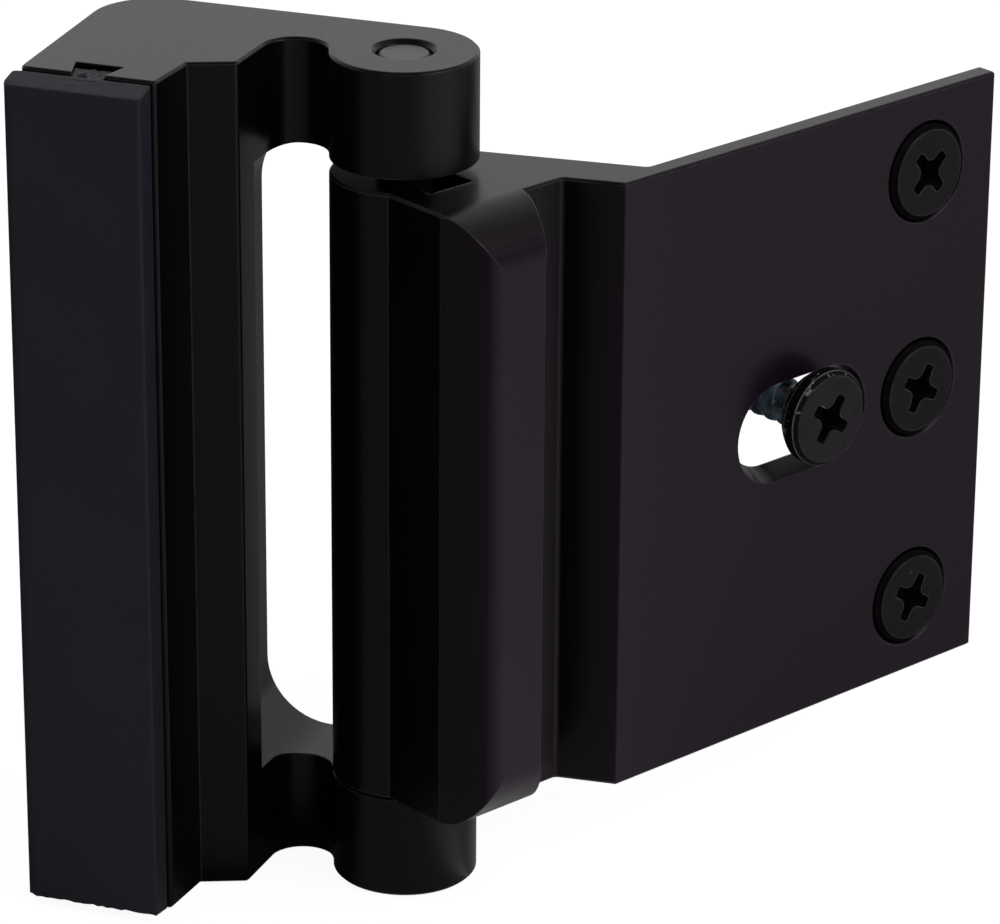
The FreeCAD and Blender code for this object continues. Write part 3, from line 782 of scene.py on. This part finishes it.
# millimetres: near and far along the arm, back and front out of its pad face
bumper = {
    "near": 16.49,
    "far": 28.80,
    "back": 15.30,
    "front": 18.00,
    "bottom": -37.32,
    "top": 38.52,
    "slant": 0.5,           # its front is this much shorter at each end
    "farRound": 1.0,
    "farBackRound": 0.5,
    "nearRound": 0.3,
    "endRound": 0.16,
    "raggedness": 0.084,    # how far the lower cut end wanders
    "topRaggedness": 0.02,
    "raggedReach": 4.0,     # how far from an end the wander fades out
    # its waves: height, pace along the arm, start
    "waves": ((1.0, 1.7, 0.4), (0.7, 3.9, 1.3), (0.45, 8.3, 2.2)),
    "tongueMiddle": 22.25,
    "tongueTip": 1.95,      # half widths
    "tongueNeck": 1.25,
    "tongueEnd": 13.1,
    "tongueSunk": 0.5,      # how far it runs into the pad
    "tongueBelow": 0.10,    # its top end under the pad's, its bottom end above the pad's
    "tongueAbove": 0.3,
    "tornRough": 0.035,     # how much the torn top end's heights scatter, and their limits
    "tornLimits": (-0.10, 0.08),
    "lowerRough": 0.04,
    "notchDepth": 0.75,     # a piece is torn out of the top end
    "notchPlace": (0.35, 0.30),     # as shares of the half width and of the depth
    "notchReach": (0.42, 0.30),
    "seed": 7,
}


# A rounded rectangle as corner centres plus a radius times an outward direction, so it can be inset
def roundedLoop(look, perCorner=8, perSide=26):
    corners = (
        (look["far"], look["back"], look["farBackRound"], -90),
        (look["far"], look["front"], look["farRound"], 0),
        (look["near"], look["front"], look["nearRound"], 90),
        (look["near"], look["back"], look["nearRound"], 180),
    )
    centres, radii, leans = [], [], []
    for a, b, radius, start in corners:
        lean = np.radians(start + np.linspace(0, 90, perCorner))
        inwardA = radius if a == look["near"] else -radius
        inwardB = radius if b == look["back"] else -radius
        centres.append(np.repeat([[a + inwardA, b + inwardB]], perCorner, 0))
        radii.append(np.full(perCorner, radius))
        leans.append(lean)
    centre, radius, lean = [], [], []
    for index in range(4):
        following = (index + 1) % 4
        share = np.linspace(0, 1, perSide)[1:-1, None]
        centre += [centres[index], centres[index][-1] * (1 - share) + centres[following][0] * share]
        radius += [radii[index], radii[index][-1] * (1 - share[:, 0]) + radii[following][0] * share[:, 0]]
        lean += [leans[index], np.full(perSide - 2, leans[index][-1])]
    return np.concatenate(centre), np.concatenate(radius), np.concatenate(lean)


# The rounded rectangle carried up the pad: its ends draw in by a quarter round and close on a middle point
def makePadShell(look, perRound=6, straightRings=40, capShares=(0.3, 0.6, 0.85)):
    centre, radius, lean = roundedLoop(look)
    columns = len(radius)
    outward = np.stack([np.cos(lean), np.sin(lean)], axis=-1)
    endRound = look["endRound"]
    quarter = np.radians(np.linspace(0, 90, perRound))
    drawnIn = endRound * (1 - np.sin(quarter))
    inset = np.concatenate([drawnIn, np.zeros(straightRings), drawnIn[::-1]])
    bottom = look["bottom"] + endRound * (1 - np.cos(quarter))
    top = look["top"] - endRound * (1 - np.cos(quarter[::-1]))
    levels = np.concatenate([bottom, np.linspace(bottom[-1], top[0], straightRings + 2)[1:-1], top])
    outline = centre[None] + (radius[None, :, None] - inset[:, None, None]) * outward[None]
    middle = np.array([(look["near"] + look["far"]) / 2, (look["back"] + look["front"]) / 2])
    cap = outline[0][None] + (middle - outline[0])[None] * np.array(capShares)[:, None, None]
    outline = np.concatenate([cap[::-1], outline, cap])
    levels = np.concatenate([[levels[0]] * len(cap), levels, [levels[-1]] * len(cap)])
    reach = outline[..., 0]
    shortened = (outline[..., 1] - look["back"]) / (look["front"] - look["back"]) * look["slant"]
    middleLevel = (look["top"] + look["bottom"]) / 2
    squeeze = (levels - middleLevel) / (look["top"] - middleLevel)
    # the cut ends wander a little: a few waves of different length added up
    waves = np.abs(sum(size * np.sin(reach * pace + start) for size, pace, start in look["waves"]))
    nearBottom = np.clip(1 - (levels - look["bottom"]) / look["raggedReach"], 0, 1) ** 2
    nearTop = np.clip(1 - (look["top"] - levels) / look["raggedReach"], 0, 1) ** 2
    height = levels[:, None] - shortened * squeeze[:, None]
    height += look["raggedness"] * waves * nearBottom[:, None]
    height -= look["topRaggedness"] * waves * nearTop[:, None]
    points = onArm(reach, outline[..., 1], height).reshape(-1, 3)
    ends = onArm(np.full(2, middle[0]), np.full(2, middle[1]),
                 np.array([levels[0] + look["slant"] / 2, levels[-1] - look["slant"] / 2]))
    return np.concatenate([points, ends]), closedFaces(len(levels), columns)


# A flared strip behind the pad, its top end torn: two sheets of heights, on a grid across the tongue and into
# the arm, with a wall round them
def makeTongue(look, across=33, inward=17):
    side, into = np.meshgrid(np.linspace(-1, 1, across), np.linspace(0, 1, inward), indexing="ij")
    half = look["tongueNeck"] + (look["tongueTip"] - look["tongueNeck"]) * into
    a = look["tongueMiddle"] + side * half
    mouth = look["back"] + look["tongueSunk"]
    b = mouth - into * (mouth - look["tongueEnd"])
    random = np.random.default_rng(look["seed"])
    rough = np.clip(random.normal(0, look["tornRough"], a.shape), *look["tornLimits"])
    (notchSide, notchInto), (sideReach, intoReach) = look["notchPlace"], look["notchReach"]
    fromNotch = np.abs(side - notchSide) / sideReach + np.abs(into - notchInto) / intoReach
    top = look["top"] - look["tongueBelow"] + rough - look["notchDepth"] * np.clip(1 - fromNotch, 0, 1)
    bottom = look["bottom"] + look["tongueAbove"] + random.normal(0, look["lowerRough"], a.shape)
    upper = onArm(a, b, top).reshape(-1, 3)
    lower = onArm(a, b, bottom).reshape(-1, 3)
    count = across * inward
    row, column = np.meshgrid(np.arange(across - 1), np.arange(inward - 1), indexing="ij")
    corner = (row * inward + column).ravel()
    sheet = np.stack([corner, corner + 1, corner + inward + 1, corner + inward], axis=-1)
    rim = np.concatenate([
        np.arange(across) * inward, (across - 1) * inward + np.arange(1, inward),
        np.arange(across - 2, -1, -1) * inward + inward - 1, np.arange(inward - 2, 0, -1)])
    after = np.roll(rim, -1)
    wall = np.stack([rim, after, after + count, rim + count], axis=-1)
    faces = sheet.tolist() + (sheet + count)[:, ::-1].tolist() + wall.tolist()
    return np.concatenate([upper, lower]), faces


# The pad and its tongue as one piece
def makeBumper(look):
    shell, shellFaces = makePadShell(look)
    tongue, tongueFaces = makeTongue(look)
    faces = shellFaces + [[index + len(shell) for index in face] for face in tongueFaces]
    points = np.concatenate([shell, tongue])
    piece = makePiece("bumperPad", points, faces, [padRubber], "arm", "bumper_pad")


makeBumper(bumper)
print("pad ready")


# The leaf spring on the pin's room side, hidden in the barrel's long bore

# millimetres, its depths along the frame's Y
leafSpring = {
    "width": 4.46,
    "thickness": 0.4,
    "halfLength": 25.0,
    "heel": 6.82,           # depth of its ends, on the side away from the pin
    "crown": 9.97,          # depth of its middle, on the same side
    "wall": 6.77,           # depth of the bore's flat wall, which the pin presses it against
    "edgeRound": 0.12,
    "pressed": 0.12,        # the share of its rise that is left when the pin is pulled
}


# A rounded strip carried along an arc: the angle along the arc and the turn round the strip's section. The
# last rings draw in by a quarter round and close on a point.
def makeLeafSpring(look, perRound=5, arcRings=60):
    rise = look["crown"] - look["heel"]
    radius = (look["halfLength"] ** 2 + rise ** 2) / (2 * rise)
    thickness = look["thickness"]
    edgeRound = look["edgeRound"]
    limit = math.asin(look["halfLength"] / (radius + thickness))
    quarter = np.radians(np.linspace(0, 90, perRound))
    drawnIn = edgeRound * (1 - np.sin(quarter))
    inset = np.concatenate([drawnIn, np.zeros(arcRings), drawnIn[::-1]])
    tip = edgeRound * (1 - np.cos(quarter)) / radius
    straight = np.linspace(tip[-1] - limit, limit - tip[-1], arcRings + 2)[1:-1]
    bend = np.concatenate([tip - limit, straight, limit - tip[::-1]])
    lean = np.radians((np.arange(4)[:, None] * 90 + np.linspace(0, 90, perRound)).ravel())
    corner = np.repeat([[1, 1], [-1, 1], [-1, -1], [1, -1]], perRound, 0)
    halfWide = look["width"] / 2 - edgeRound
    halfThick = thickness / 2 - edgeRound
    reach = edgeRound - inset[:, None]
    across = corner[None, :, 0] * halfWide + reach * np.cos(lean)
    outward = corner[None, :, 1] * halfThick + reach * np.sin(lean)
    fromCentre = radius + thickness / 2 + outward
    depth = look["crown"] - radius + fromCentre * np.cos(bend[:, None])
    height = fromCentre * np.sin(bend[:, None])
    hingeX = hingeAxis[0]
    points = np.stack([hingeX + across * mm, depth * mm, height * mm], axis=-1).reshape(-1, 3)
    endDepth = look["crown"] - radius + (radius + thickness / 2) * math.cos(limit)
    endHeight = (radius + thickness / 2) * math.sin(limit)
    ends = np.array([(hingeX, endDepth * mm, -endHeight * mm), (hingeX, endDepth * mm, endHeight * mm)])
    piece = makePiece("leafSpring", np.concatenate([points, ends]), closedFaces(*across.shape), [springSteel],
                      "bracket", "pin_spring")
    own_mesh(piece)


makeLeafSpring(leafSpring)
print("spring ready")


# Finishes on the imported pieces

packedFinishes = {
    "jamb_bracket": blackAnodised,
    "swing_arm": armAnodised,
    "hinge_pin": pinSteel,
}
for nodeName, finish in packedFinishes.items():
    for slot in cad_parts[nodeName].material_slots:
        slot.material = finish
print("packed pieces finished")
